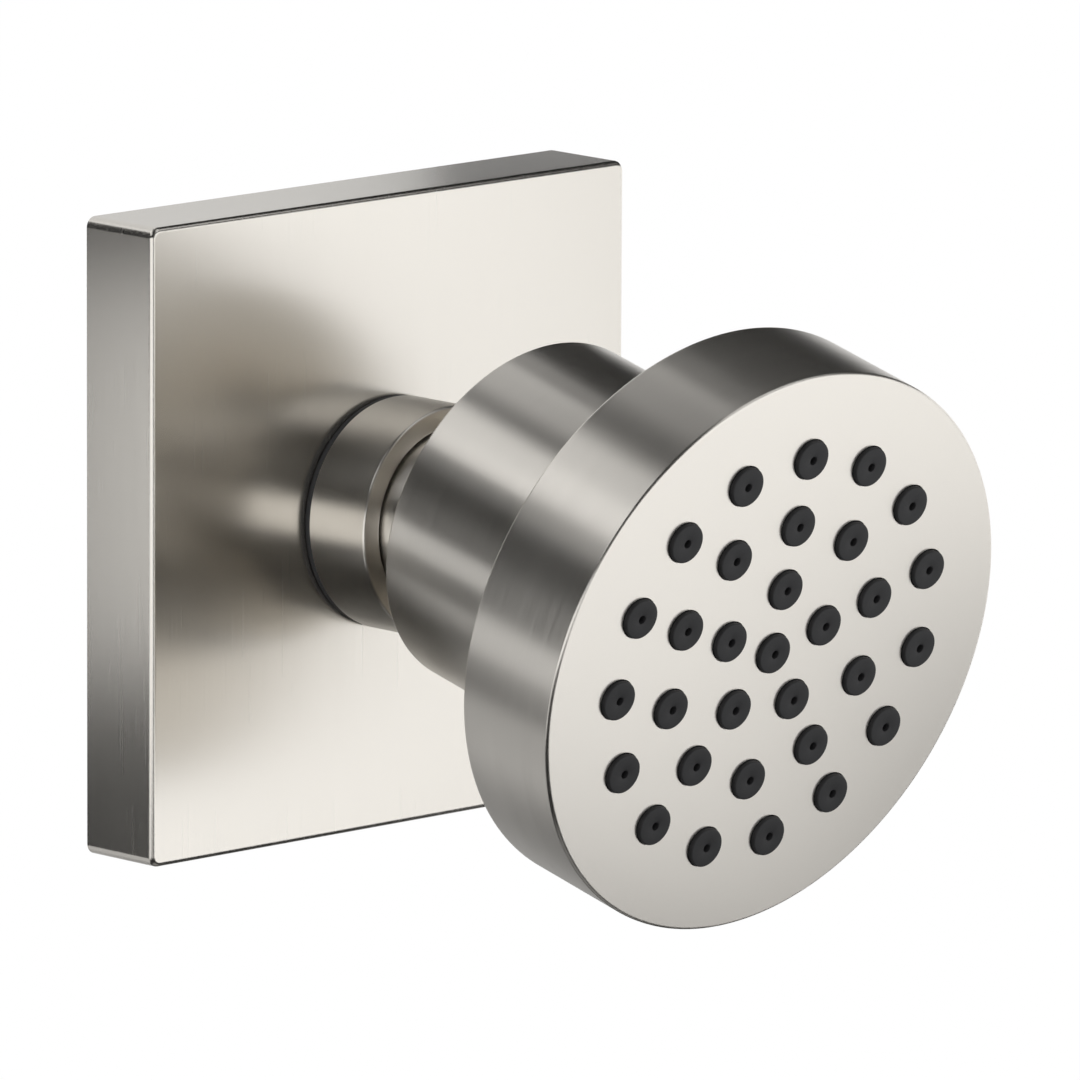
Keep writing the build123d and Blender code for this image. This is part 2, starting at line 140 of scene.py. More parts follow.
class JetSizes(bpy.types.PropertyGroup):
    """Sizes of the modelled pieces."""

    steps: IntProperty(name="Steps", description="Sides of a turned piece", default=192, min=24)
    plate_side: length("Plate side", "Side of the square wall plate", plate_high.x - plate_low.x)
    plate_depth: length("Plate depth", "How far the plate stands out", plate_high.y - plate_low.y)
    plate_corner: length("Plate corner", "Radius of the plate's four corners", 1.0 * MM)
    plate_edge: length("Plate edge", "Radius of the edge round the plate's front", 0.5 * MM)
    ledge_side: length("Ledge side", "Side of the recess for the gasket", 55.6 * MM)
    ledge_depth: length("Ledge depth", "Depth of the recess for the gasket", 2.0 * MM)
    hollow_side: length("Hollow side", "Side of the hollow in the plate's back", 53.2 * MM)
    hollow_depth: length("Hollow depth", "Depth of the hollow in the plate's back", 6.5 * MM)
    hollow_corner: length("Hollow corner", "Radius of the hollow's corners", 1.5 * MM)
    plate_hole_r: length("Plate hole", "Radius of the hole for the inlet", 9.8 * MM)
    sleeve_bore_r: length("Sleeve bore", "Radius of the sleeve's threaded bore", 9.55 * MM)
    sleeve_lip_r: length("Sleeve lip", "Radius of the lip round the neck", 9.0 * MM)
    sleeve_lip: length("Lip length", "Length of the sleeve's lip", 2.8 * MM)
    sleeve_edge: length("Sleeve edge", "Radius of the sleeve's front edges", 0.25 * MM)
    band_round: length("Band round", "Radius of the rubber band's outer edge", 0.25 * MM)
    barrel_r: length("Barrel radius", "Radius of the barrel behind the disc", 17.0 * MM)
    barrel_bore_r: length("Barrel bore", "Radius of the barrel's bore", 15.002 * MM)
    barrel_edge: length("Barrel edge", "Radius of the barrel's back edge", 0.3 * MM)
    web_back: length("Web", "Back of the web in the barrel, from the ball's centre", 10.598 * MM)
    web_hole_r: length("Throat", "Radius of the throat through the web", 8.0 * MM)
    throat_length: length("Throat length", "Straight part of the throat", 2.0 * MM)
    throat_mouth_r: length("Throat mouth", "Radius of the throat's wide end", 13.0 * MM)
    rebate_r: length("Rebate", "Radius of the rebate for the cup's ring", 23.5 * MM)
    rebate_back: length("Rebate back", "Back of that rebate, from the ball's centre", 15.498 * MM)
    cup_bore_r: length("Cup bore", "Radius of the cup's bore over the flange", 25.5 * MM)
    chamber_r: length("Chamber", "Radius of the water chamber in the cup", 23.4 * MM)
    cup_step: length("Cup step", "Step between bore and chamber, from the ball's centre", 17.398 * MM)
    face_wall: length("Face wall", "Thickness of the spray face", 2.0 * MM)
    disc_edge: length("Disc edge", "Radius of the edge round the spray face", 0.3 * MM)
    outer_ring_r: length("Outer ring", "Radius of the outer ring of nozzles", 19.2 * MM)
    ring_step: length("Ring step", "Step between the inner rings of nozzles", 6.3 * MM)
    nozzle_r: length("Nozzle radius", "Radius of a nozzle", 1.9 * MM)
    nozzle_gap: length("Nozzle gap", "Gap round a nozzle in its hole", 0.1 * MM)
    nozzle_round: length("Nozzle round", "Radius of a nozzle's edge", 0.15 * MM)
    jet_r: length("Jet radius", "Radius of a nozzle's jet", 0.4 * MM)
    jet_length: length("Jet length", "Length of a nozzle's jet", 1.6 * MM)
    feed_r: length("Feed radius", "Radius of the funnel behind a jet", 1.2 * MM)
    feed_top_r: length("Feed top", "Radius of that funnel at the jet", 0.83 * MM)
    mat_depth: length("Mat depth", "Thickness of the nozzles' sheet", 1.6 * MM)
    slip: length("Slip", "Clearance round the pieces in the inlet", 0.1 * MM)
    spigot_r: length("Spigot", "Radius of the stem in the inlet", 6.35 * MM)
    stem_bore_r: length("Stem bore", "Radius of the inlet's bore round the stem", 6.4 * MM)
    clip_groove_r: length("Clip groove", "Radius of the groove for the clip", 5.55 * MM)
    ring_groove_r: length("Ring groove", "Radius of the grooves for the stem's rings", 4.9 * MM)
    ring_groove_width: length("Groove width", "Width of those grooves", 1.9 * MM)
    back_groove: length("Back groove", "Place of the back groove, from the wall", 5.3 * MM)
    front_groove: length("Front groove", "Place of the front groove, from the wall", 10.3 * MM)
    neck_r: length("Neck", "Radius of the stem's neck", 8.7 * MM)
    neck_back: length("Neck back", "Back of the neck, from the wall", 15.3 * MM)
    neck_front: length("Neck front", "Front of the neck, from the wall", 19.2 * MM)
    neck_angle: angle("Neck angle", "Half angle of the cone where the neck meets the ball", 31.5)
    mouth_angle: angle("Mouth angle", "Half angle of the flat at the ball's mouth", 23)
    waterway_r: length("Waterway", "Radius of the bore through the stem", 3.5 * MM)
    mouth_depth: length("Mouth depth", "Depth of the cone at the ball's mouth", 1.6 * MM)
    thread_r: length("Thread radius", "Outer radius of the inlet's thread", 10.4775 * MM)
    thread_depth: length("Thread depth", "Depth of the inlet's thread", 1.1617 * MM)
    thread_pitch: length("Thread pitch", "Pitch of the inlet's thread", 1.8143 * MM)
    thread_round: length("Thread round", "Radius of the thread's crests and roots", 0.249 * MM)
    thread_lead: length("Thread lead", "Chamfer at the thread's free end", 1.0 * MM)
    relief_r: length("Thread relief", "Radius of the groove behind the thread", 9.1775 * MM)
    collar_back: length("Collar back", "Back of the hexagon collar, from the wall", 1.5 * MM)
    collar_front: length("Collar front", "Front of the hexagon collar, from the wall", 5.0 * MM)
    collar_r: length("Collar", "Half the width across the collar's flats", 13.0 * MM)
    stub_r: length("Stub", "Radius of the stub under the sleeve", 9.5 * MM)
    stub_chamfer: length("Stub chamfer", "Chamfer at the stub's end", 0.5 * MM)


class JetFinishes(bpy.types.PropertyGroup):
    """Colours of the finishes."""

    nickel: colour("Nickel", "Brushed nickel", (0.86, 0.826, 0.768))
    nickel_streak: colour("Nickel streak", "Darker streaks in the brushed nickel", (0.828, 0.795, 0.739))
    brass: colour("Brass", "Turned brass of the inlet", (0.72, 0.55, 0.28))
    rubber: colour("Rubber", "Matt rubber rings", (0.03, 0.03, 0.032))
    silicone: colour("Silicone", "Soft nozzles", (0.014, 0.014, 0.015))
    plastic: colour("Plastic", "White moulded plastic", (0.82, 0.82, 0.80))
    steel: colour("Steel", "Spring steel", (0.55, 0.55, 0.56))


class JetStage(bpy.types.PropertyGroup):
    """Camera, floor and light."""

    azimuth: angle("Azimuth", "Turn of the camera round the object", -43.4321)
    elevation: angle("Elevation", "Height of the camera as an angle", 10.4026)
    roll: angle("Roll", "Roll of the camera", 0.2457)
    distance: length("Distance", "Distance of the camera", 1508.67 * MM)
    aside: length("Aside", "Sideways place of the camera", 20.1444 * MM)
    above: length("Above", "Upward place of the camera", -3.9237 * MM)
    lens: FloatProperty(name="Lens", description="Focal length", default=535.8, unit="CAMERA")
    floor_height: length("Floor", "Height of the floor", -600 * MM)
    floor_size: length("Floor size", "Side of the floor", 60.0)
    floor_colour: colour("Floor colour", "Pale floor", (0.9, 0.9, 0.9))
    floor_lift: number("Floor lift", "What lifts the floor's colour to white", 0.1)
    tent_radius: length("Tent", "Radius of the light tent round the object", 200 * MM)
    tent_shade: number("Tent shade", "Brightness of the tent's dark cloth", 0.02)
    key_distance: length("Key distance", "Distance of the soft key light", 1.2)
    key_size: length("Key size", "Side of the soft key light", 0.95)
    key_power: FloatProperty(
        name="Key power", description="Power of the soft key light", default=2.3, unit="POWER"
    )


# Selection and shaping, as by hand


def only(piece):
    """Selects one piece and makes it active."""
    bpy.ops.object.select_all(action="DESELECT")
    piece.select_set(True)
    bpy.context.view_layer.objects.active = piece


def named(name):
    """Names the primitive that was just added and puts its place into its mesh."""
    piece = bpy.context.active_object
    piece.name = piece.data.name = name
    bpy.ops.object.transform_apply(location=True, rotation=True, scale=True)
    return piece


def turned(name, outline, steps, ring=True):
    """Turns (radius, height) points about Z: a circle that is extruded and resized from point to point.
    A ring's outline closes on itself; a solid one has a flat face over its first and last circle."""
    bpy.ops.object.select_all(action="DESELECT")
    points = outline + outline[:1] if ring else outline
    bpy.ops.mesh.primitive_circle_add(
        vertices=steps, radius=points[0][0], location=(0, 0, points[0][1]),
        fill_type="NOTHING" if ring else "NGON",
    )
    piece = named(name)
    bpy.ops.object.mode_set(mode="EDIT")
    for (radius, height), (next_radius, next_height) in zip(points, points[1:]):
        bpy.ops.mesh.extrude_region_move(TRANSFORM_OT_translate={"value": (0, 0, next_height - height)})
        scale = next_radius / radius
        bpy.ops.transform.resize(value=(scale, scale, 1), center_override=(0, 0, next_height))
    close_up()
    return piece


def close_up():
    """Merges doubled points, turns the faces outwards and leaves edit mode."""
    bpy.ops.mesh.select_all(action="SELECT")
    bpy.ops.mesh.remove_doubles(threshold=DOUBLED)
    bpy.ops.mesh.normals_make_consistent(inside=False)
    bpy.ops.object.mode_set(mode="OBJECT")


def round_edges(piece, width, segments, wanted):
    """Bevels those edges of a piece whose two ends are wanted."""
    only(piece)
    bpy.ops.object.mode_set(mode="EDIT")
    bpy.ops.mesh.select_mode(type="EDGE")
    bpy.ops.mesh.select_all(action="DESELECT")
    bpy.ops.object.mode_set(mode="OBJECT")
    points = piece.data.vertices
    for edge in piece.data.edges:
        edge.select = wanted(*(points[index].co for index in edge.vertices))
    bpy.ops.object.mode_set(mode="EDIT")
    bpy.ops.mesh.bevel(offset=width, segments=segments, affect="EDGES")
    bpy.ops.object.mode_set(mode="OBJECT")


def round_rings(piece, width, segments, *places):
    """Bevels the edges that run round Z at these (radius, height) places."""

    def at(point, radius, height):
        return abs(hypot(point.x, point.y) - radius) < NEAR and abs(point.z - height) < NEAR

    round_edges(
        piece, width, segments,
        lambda start, end: any(at(start, *place) and at(end, *place) for place in places),
    )


def square_block(name, side, back, front, corner):
    """A square block along Z with four rounded corners."""
    bpy.ops.object.select_all(action="DESELECT")
    bpy.ops.mesh.primitive_cube_add(
        size=1, location=(0, 0, (back + front) / 2), scale=(side, side, front - back)
    )
    piece = named(name)
    round_edges(piece, corner, CORNER_SEGMENTS, lambda start, end: abs(start.z - end.z) > NEAR)
    return piece


def combine(piece, tool, operation):
    """Joins a tool to a piece, cuts it away or keeps what both share, and removes the tool."""
    only(piece)
    modifier = piece.modifiers.new("combine", "BOOLEAN")
    modifier.operation = operation
    modifier.solver = "EXACT"
    modifier.object = tool
    bpy.ops.object.modifier_apply(modifier=modifier.name)
    bpy.data.objects.remove(tool)


def clear_slivers(piece):
    """Merges the doubled points that combining leaves in a piece."""
    only(piece)
    bpy.ops.object.mode_set(mode="EDIT")
    close_up()


def copies_at(piece, places):
    """Copies a piece to each (x, y) place, each with its own mesh, and joins the copies to one object."""
    copies = []
    for x, y in places:
        only(piece)
        bpy.ops.object.duplicate()
        bpy.ops.transform.translate(value=(x, y, 0))
        copies.append(bpy.context.active_object)
    bpy.data.objects.remove(piece)
    bpy.ops.object.select_all(action="DESELECT")
    for copy in copies:
        copy.select_set(True)
    bpy.context.view_layer.objects.active = copies[0]
    bpy.ops.object.join()
    bpy.ops.object.transform_apply(location=True, rotation=True, scale=True)
    return bpy.context.active_object


def set_in_place(piece, tilt, place):
    """Turns a piece from Z to the wall's or the head's axis, with its place in its mesh."""
    only(piece)
    piece.rotation_euler = (tilt, 0, 0)
    piece.location = place
    bpy.ops.object.transform_apply(location=True, rotation=True, scale=True)


def finish_piece(piece, name, finish, body, node):
    """Smooths a piece, gives it its finish and lets it stand for a solid on its body."""
    only(piece)
    piece.name = piece.data.name = name
    bpy.ops.object.shade_smooth_by_angle(angle=SMOOTH_ANGLE)
    modifier = piece.modifiers.new("flat faces", "WEIGHTED_NORMAL")
    modifier.keep_sharp = True
    bpy.ops.object.modifier_apply(modifier=modifier.name)
    piece.data.materials.clear()
    piece.data.materials.append(finish_of(finish))
    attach(piece, body)
    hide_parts(node)


# Materials: noise on object coordinates, with scales per metre

NOISE_RANGE = (0.3, 0.7)  # where most of a noise's values lie
MIX_FIRST, MIX_SECOND, MIX_RESULT = 6, 7, 2  # a colour mix's sockets
BUMP_DEPTH = 0.02 * MM
BRUSH_BUMP = 0.03
BRUSH_LINES = 7000  # lines across the strokes
BRUSH_DETAIL = 3.0
BRUSH_SPREAD = 0.025  # how far the roughness strays to either side
ACROSS_GRAIN = 0.25  # turns the highlight's stretch across the strokes
STRAIGHT_CHANGES = 45  # changes along a straight stroke
STRAIGHT_LEAN = 0.02  # sideways lean of the upright strokes
TURNED_CHANGES = 1.3  # changes along a turned stroke, per radian
FINE_DETAIL = 2.0
SATIN_SCALE = 9000.0
SATIN_ROUGHNESS = (0.28, 0.33)
SOFT_BUMP = 0.15
SOFT_ROUGHNESS = (0.49, 0.61)
SOFT_PALE = 1.35  # how much paler the moulded grain gets
SOFT_IOR = 1.41
RUBBER_GRAIN = 0.15 * MM
SILICONE_GRAIN = 0.1 * MM
TOOL_MARKS = (300, 9000, 300)  # close together along Y, the inlet's axis
TOOL_DULL = 0.9  # how much darker the tool marks get
BRASS_ROUGHNESS = (0.2, 0.3)
STEEL_ROUGHNESS = (0.25, 0.35)
PLASTIC_SCALE = 900.0
PLASTIC_DULL = 0.94  # how much darker the mottle gets
PLASTIC_ROUGHNESS = (0.38, 0.5)


def shader(name):
    """A new material, its node tree and its shader node."""
    material = bpy.data.materials.new(name)
    material.use_nodes = True
    return material, material.node_tree, material.node_tree.nodes["Principled BSDF"]


def node(tree, kind, inputs=None, **settings):
    """Adds a node, sets its options, and links or sets its inputs."""
    made = tree.nodes.new(kind)
    for key, value in settings.items():
        setattr(made, key, value)
    for key, value in (inputs or {}).items():
        if isinstance(value, bpy.types.NodeSocket):
            tree.links.new(value, made.inputs[key])
        else:
            made.inputs[key].default_value = value
    return made


def calculated(tree, operation, first, second):
    """The result of an operation on two numbers or sockets."""
    return node(tree, "ShaderNodeMath", {0: first, 1: second}, operation=operation).outputs[0]


def object_place(tree):
    """The place on the piece, in metres."""
    return node(tree, "ShaderNodeTexCoord").outputs["Object"]


def stretched_place(tree, scale):
    """The place on the piece with each axis scaled on its own."""
    return node(tree, "ShaderNodeMapping", {"Vector": object_place(tree), "Scale": scale}).outputs[0]


def noise(tree, place, scale, detail):
    """A noise value at a place."""
    inputs = {"Vector": place, "Scale": scale, "Detail": detail}
    return node(tree, "ShaderNodeTexNoise", inputs).outputs[0]


def spread(tree, value, low, high):
    """Spreads a noise value over a range."""
    ends = {"From Min": NOISE_RANGE[0], "From Max": NOISE_RANGE[1], "To Min": low, "To Max": high}
    return node(tree, "ShaderNodeMapRange", {"Value": value, **ends}).outputs["Result"]


def blended(tree, factor, first, second):
    """A colour between two by a factor."""
    mix = node(tree, "ShaderNodeMix", {"Factor": factor}, data_type="RGBA")
    mix.inputs[MIX_FIRST].default_value = (*first, 1)
    mix.inputs[MIX_SECOND].default_value = (*second, 1)
    return mix.outputs[MIX_RESULT]


def roughen(tree, surface, value, strength):
    """Raises a surface's fine relief by a noise value."""
    bump = node(tree, "ShaderNodeBump", {"Strength": strength, "Distance": BUMP_DEPTH, "Height": value})
    tree.links.new(bump.outputs[0], surface.inputs["Normal"])


def to_world(tree, vector):
    """Turns a direction on the piece into one in the room."""
    return node(
        tree, "ShaderNodeVectorTransform", {"Vector": vector},
        vector_type="VECTOR", convert_from="OBJECT", convert_to="WORLD",
    ).outputs[0]


def brushed(tree, metal, streaks, grain, finishes, roughness, anisotropy):
    """Lets brush streaks tint, roughen and groove a metal along a grain direction."""
    tint = blended(tree, streaks, finishes.nickel_streak, finishes.nickel)
    rough = spread(tree, streaks, roughness - BRUSH_SPREAD, roughness + BRUSH_SPREAD)
    tree.links.new(tint, metal.inputs["Base Color"])
    tree.links.new(rough, metal.inputs["Roughness"])
    roughen(tree, metal, streaks, BRUSH_BUMP)
    tree.links.new(to_world(tree, grain), metal.inputs["Tangent"])
    metal.inputs["Metallic"].default_value = 1.0
    metal.inputs["Anisotropic"].default_value = anisotropy
    metal.inputs["Anisotropic Rotation"].default_value = ACROSS_GRAIN


def straight_nickel(name, finishes):
    """Nickel brushed in straight upright strokes."""
    material, tree, metal = shader(name)
    stroke = stretched_place(tree, (BRUSH_LINES, BRUSH_LINES, STRAIGHT_CHANGES))
    streaks = noise(tree, stroke, 1.0, BRUSH_DETAIL)
    grain = node(tree, "ShaderNodeCombineXYZ", {"X": STRAIGHT_LEAN, "Z": 1.0}).outputs[0]
    brushed(tree, metal, streaks, grain, finishes, roughness=0.25, anisotropy=0.6)
    return material


def turned_nickel(name, tilt, centre, finishes):
    """Nickel brushed round an axis, as on a lathe."""
    material, tree, metal = shader(name)
    moved = node(
        tree, "ShaderNodeVectorMath", {0: object_place(tree), 1: centre}, operation="SUBTRACT"
    ).outputs[0]
    upright = node(
        tree, "ShaderNodeVectorRotate", {"Vector": moved, "Axis": (1, 0, 0), "Angle": -tilt},
        rotation_type="AXIS_ANGLE",
    ).outputs[0]
    parts = node(tree, "ShaderNodeSeparateXYZ", {0: upright}).outputs
    flat = node(tree, "ShaderNodeCombineXYZ", {"X": parts["X"], "Y": parts["Y"]}).outputs[0]
    radius = node(tree, "ShaderNodeVectorMath", {0: flat}, operation="LENGTH").outputs["Value"]
    around = node(tree, "ShaderNodeVectorMath", {0: flat}, operation="NORMALIZE").outputs[0]
    lane = calculated(tree, "MULTIPLY", calculated(tree, "ADD", parts["Z"], radius), BRUSH_LINES)
    arc = node(
        tree, "ShaderNodeVectorMath", {0: around, "Scale": TURNED_CHANGES}, operation="SCALE"
    ).outputs[0]
    sides = node(tree, "ShaderNodeSeparateXYZ", {0: arc}).outputs
    stroke = node(tree, "ShaderNodeCombineXYZ", {"X": sides["X"], "Y": sides["Y"], "Z": lane}).outputs[0]
    streaks = noise(tree, stroke, 1.0, BRUSH_DETAIL)
    axis = (0, -sin(tilt), cos(tilt))
    grain = node(tree, "ShaderNodeVectorMath", {0: axis, 1: moved}, operation="CROSS_PRODUCT").outputs[0]
    brushed(tree, metal, streaks, grain, finishes, roughness=0.3, anisotropy=0.8)
    return material


def satin_nickel(name, finishes):
    """Nickel blasted to an even satin, with a fine grain instead of strokes."""
    material, tree, metal = shader(name)
    grain = noise(tree, object_place(tree), SATIN_SCALE, FINE_DETAIL)
    tint = blended(tree, grain, finishes.nickel_streak, finishes.nickel)
    tree.links.new(tint, metal.inputs["Base Color"])
    tree.links.new(spread(tree, grain, *SATIN_ROUGHNESS), metal.inputs["Roughness"])
    metal.inputs["Metallic"].default_value = 1.0
    return material


def soft_black(name, tint, grain_size):
    """Matt rubber or silicone with a fine moulded grain."""
    material, tree, skin = shader(name)
    grain = noise(tree, object_place(tree), 1 / grain_size, FINE_DETAIL)
    pale = tuple(min(1, channel * SOFT_PALE) for channel in tint)
    tree.links.new(blended(tree, grain, tint, pale), skin.inputs["Base Color"])
    tree.links.new(spread(tree, grain, *SOFT_ROUGHNESS), skin.inputs["Roughness"])
    roughen(tree, skin, grain, SOFT_BUMP)
    skin.inputs["IOR"].default_value = SOFT_IOR
    return material


def plain_metal(name, tint, roughness):
    """Brass or steel with fine tool marks round the inlet's axis."""
    material, tree, metal = shader(name)
    marks = noise(tree, stretched_place(tree, TOOL_MARKS), 1.0, FINE_DETAIL)
    dull = tuple(channel * TOOL_DULL for channel in tint)
    tree.links.new(blended(tree, marks, dull, tint), metal.inputs["Base Color"])
    tree.links.new(spread(tree, marks, *roughness), metal.inputs["Roughness"])
    metal.inputs["Metallic"].default_value = 1.0
    return material


def moulded_plastic(name, tint):
    """White plastic with a faint mottle."""
    material, tree, skin = shader(name)
    mottle = noise(tree, object_place(tree), PLASTIC_SCALE, FINE_DETAIL)
    dull = tuple(channel * PLASTIC_DULL for channel in tint)
    tree.links.new(blended(tree, mottle, dull, tint), skin.inputs["Base Color"])
    tree.links.new(spread(tree, mottle, *PLASTIC_ROUGHNESS), skin.inputs["Roughness"])
    return material


def finish_of(name):
    """The finish of that name, made by the first operator that asks for it."""
    if name in bpy.data.materials:
        return bpy.data.materials[name]
    finishes = bpy.context.scene.jet_finishes
    makers = {
        "nickel_straight_brushed": lambda: straight_nickel(name, finishes),
        "nickel_turned_wall": lambda: turned_nickel(name, WALL_TILT, ORIGIN, finishes),
        "nickel_turned_head": lambda: turned_nickel(name, HEAD_TILT, PIVOT, finishes),
        "nickel_satin": lambda: satin_nickel(name, finishes),
        "black_rubber_matt": lambda: soft_black(name, finishes.rubber, RUBBER_GRAIN),
        "black_silicone_soft": lambda: soft_black(name, finishes.silicone, SILICONE_GRAIN),
        "brass_turned": lambda: plain_metal(name, finishes.brass, BRASS_ROUGHNESS),
        "steel_spring": lambda: plain_metal(name, finishes.steel, STEEL_ROUGHNESS),
        "white_plastic_moulded": lambda: moulded_plastic(name, finishes.plastic),
    }
    return makers[name]()


# Pieces


class WallPlateOperator(bpy.types.Operator):
    """Models the square wall plate with its hollow back"""

    bl_idname = "body_jet.wall_plate"
    bl_label = "Wall plate"

    def execute(self, context):
        sizes = context.scene.jet_sizes
        plate = square_block("plate", sizes.plate_side, 0, sizes.plate_depth, sizes.plate_corner)
        front = sizes.plate_depth
        round_edges(
            plate, sizes.plate_edge, PLATE_SEGMENTS,
            lambda start, end: abs(start.z - front) < NEAR and abs(end.z - front) < NEAR,
        )
        below = -sizes.plate_depth
        ledge = square_block("ledge", sizes.ledge_side, below, sizes.ledge_depth, sizes.hollow_corner)
        combine(plate, ledge, "DIFFERENCE")
        hollow = square_block("hollow", sizes.hollow_side, below, sizes.hollow_depth, sizes.hollow_corner)
        combine(plate, hollow, "DIFFERENCE")
        outline = [(sizes.plate_hole_r, 0), (sizes.plate_hole_r, 2 * sizes.plate_depth)]
        hole = turned("hole", outline, sizes.steps, ring=False)
        combine(plate, hole, "DIFFERENCE")
        set_in_place(plate, WALL_TILT, ORIGIN)
        finish_piece(
            plate, "plate_shell", "nickel_straight_brushed", "wall_fitting", "wall_plate"
        )
        return {"FINISHED"}


class SleeveOperator(bpy.types.Operator):
    """Turns the sleeve and the rubber band at its foot"""

    bl_idname = "body_jet.sleeve"
    bl_label = "Sleeve and band"

    def execute(self, context):
        sizes = context.scene.jet_sizes
        lip_back = sleeve_front - sizes.sleeve_lip
        sleeve = turned(
            "sleeve_tube",
            [
                (sizes.sleeve_bore_r, sleeve_back),
                (sizes.sleeve_bore_r, lip_back),
                (sizes.sleeve_lip_r, lip_back),
                (sizes.sleeve_lip_r, sleeve_front),
                (sleeve_r, sleeve_front),
                (sleeve_r, sleeve_back),
            ],
            sizes.steps,
        )
        round_rings(
            sleeve, sizes.sleeve_edge, EDGE_SEGMENTS,
            (sizes.sleeve_lip_r, sleeve_front), (sleeve_r, sleeve_front),
        )
        set_in_place(sleeve, WALL_TILT, ORIGIN)
        finish_piece(
            sleeve, "sleeve_tube", "nickel_turned_wall", "wall_fitting", "sleeve"
        )
        band = turned(
            "band",
            [
                (sizes.plate_hole_r, band_back),
                (sizes.plate_hole_r, band_front),
                (band_r, band_front),
                (band_r, band_back),
            ],
            sizes.steps,
        )
        round_rings(band, sizes.band_round, BAND_SEGMENTS, (band_r, band_front), (band_r, band_back))
        set_in_place(band, WALL_TILT, ORIGIN)
        finish_piece(
            band, "sleeve_band", "black_rubber_matt", "wall_fitting", "sleeve_ring"
        )
        return {"FINISHED"}


class BarrelOperator(bpy.types.Operator):
    """Turns the barrel with its web and flange"""

    bl_idname = "body_jet.barrel"
    bl_label = "Barrel"

    def execute(self, context):
        sizes = context.scene.jet_sizes
        barrel = turned(
            "barrel",
            [
                (sizes.barrel_bore_r, barrel_back),
                (sizes.barrel_bore_r, sizes.web_back),
                (sizes.web_hole_r, sizes.web_back),
                (sizes.web_hole_r, sizes.web_back + sizes.throat_length),
                (sizes.throat_mouth_r, flange_front),
                (sizes.rebate_r, flange_front),
                (sizes.rebate_r, sizes.rebate_back),
                (flange_r, sizes.rebate_back),
                (flange_r, disc_back),
                (sizes.barrel_r, disc_back),
                (sizes.barrel_r, barrel_back),
            ],
            sizes.steps,
        )
        round_rings(
            barrel, sizes.barrel_edge, EDGE_SEGMENTS,
            (sizes.barrel_r, barrel_back), (sizes.barrel_bore_r, barrel_back),
        )
        set_in_place(barrel, HEAD_TILT, PIVOT)
        finish_piece(
            barrel, "barrel_with_flange", "nickel_turned_head", "spray_head", "head_body"
        )
        return {"FINISHED"}


def nozzle_places(sizes):
    """Centres of the nozzles: one in the middle and three rings, each with one straight up."""
    radii = (0, sizes.ring_step, 2 * sizes.ring_step, sizes.outer_ring_r)
    places = []
    for radius, count in zip(radii, RING_COUNTS):
        for step in range(count):
            turn = pi / 2 + step * 2 * pi / count
            places.append((radius * cos(turn), radius * sin(turn)))
    return places


class SprayDiscOperator(bpy.types.Operator):
    """Turns the spray disc and cuts a hole for each nozzle"""

    bl_idname = "body_jet.spray_disc"
    bl_label = "Spray disc"

    def execute(self, context):
        sizes = context.scene.jet_sizes
        face_back = disc_front - sizes.face_wall
        disc = turned(
            "disc",
            [
                (sizes.chamber_r, face_back),
                (sizes.chamber_r, sizes.cup_step),
                (sizes.cup_bore_r, sizes.cup_step),
                (sizes.cup_bore_r, disc_back),
                (disc_r, disc_back),
                (disc_r, disc_front),
            ],
            sizes.steps,
            ring=False,
        )
        round_rings(disc, sizes.disc_edge, EDGE_SEGMENTS, (disc_r, disc_back), (disc_r, disc_front))
        hole_r = sizes.nozzle_r + sizes.nozzle_gap
        outline = [(hole_r, face_back - MM), (hole_r, disc_front + MM)]
        hole = turned("hole", outline, HOLE_STEPS, ring=False)
        combine(disc, copies_at(hole, nozzle_places(sizes)), "DIFFERENCE")
        set_in_place(disc, HEAD_TILT, PIVOT)
        finish_piece(
            disc, "spray_disc", "nickel_turned_head", "spray_head", "spray_cup"
        )
        disc.data.materials.append(finish_of("nickel_satin"))
        for polygon in disc.data.polygons:
            height = (polygon.center - PIVOT).dot(HEAD_AXIS)
            if polygon.normal.dot(HEAD_AXIS) > FACING and height > disc_front - NEAR:
                polygon.material_index = 1
        return {"FINISHED"}


class NozzleOperator(bpy.types.Operator):
    """Models the soft sheet with its rounded nozzles"""

    bl_idname = "body_jet.nozzles"
    bl_label = "Nozzles"

    def execute(self, context):
        sizes = context.scene.jet_sizes
        mat_front = mat_back + sizes.mat_depth
        sunk = mat_back + NOZZLE_SUNK * sizes.mat_depth
        jet_back = nozzle_tip - sizes.jet_length
        nozzle = turned(
            "nozzle",
            [
                (sizes.nozzle_r, sunk),
                (sizes.nozzle_r, nozzle_tip),
                (sizes.jet_r, nozzle_tip),
                (sizes.jet_r, jet_back),
                (sizes.feed_top_r, jet_back),
                (sizes.feed_r, sunk),
            ],
            NOZZLE_STEPS,
        )
        round_rings(nozzle, sizes.nozzle_round, NOZZLE_SEGMENTS, (sizes.nozzle_r, nozzle_tip))
        round_rings(nozzle, JET_ROUND, JET_SEGMENTS, (sizes.jet_r, nozzle_tip))
        nozzles = copies_at(nozzle, nozzle_places(sizes))
        sheet = turned("sheet", [(mat_r, mat_back), (mat_r, mat_front)], sizes.steps, ring=False)
        opening_r = (sizes.feed_r + sizes.nozzle_r) / 2
        outline = [(opening_r, mat_back - MM), (opening_r, mat_front + MM)]
        opening = turned("opening", outline, OPENING_STEPS, ring=False)
        combine(sheet, copies_at(opening, nozzle_places(sizes)), "DIFFERENCE")
        combine(sheet, nozzles, "UNION")
        clear_slivers(sheet)
        set_in_place(sheet, HEAD_TILT, PIVOT)
        finish_piece(
            sheet, "nozzle_sheet", "black_silicone_soft", "spray_head", "nozzle_mat"
        )
        return {"FINISHED"}


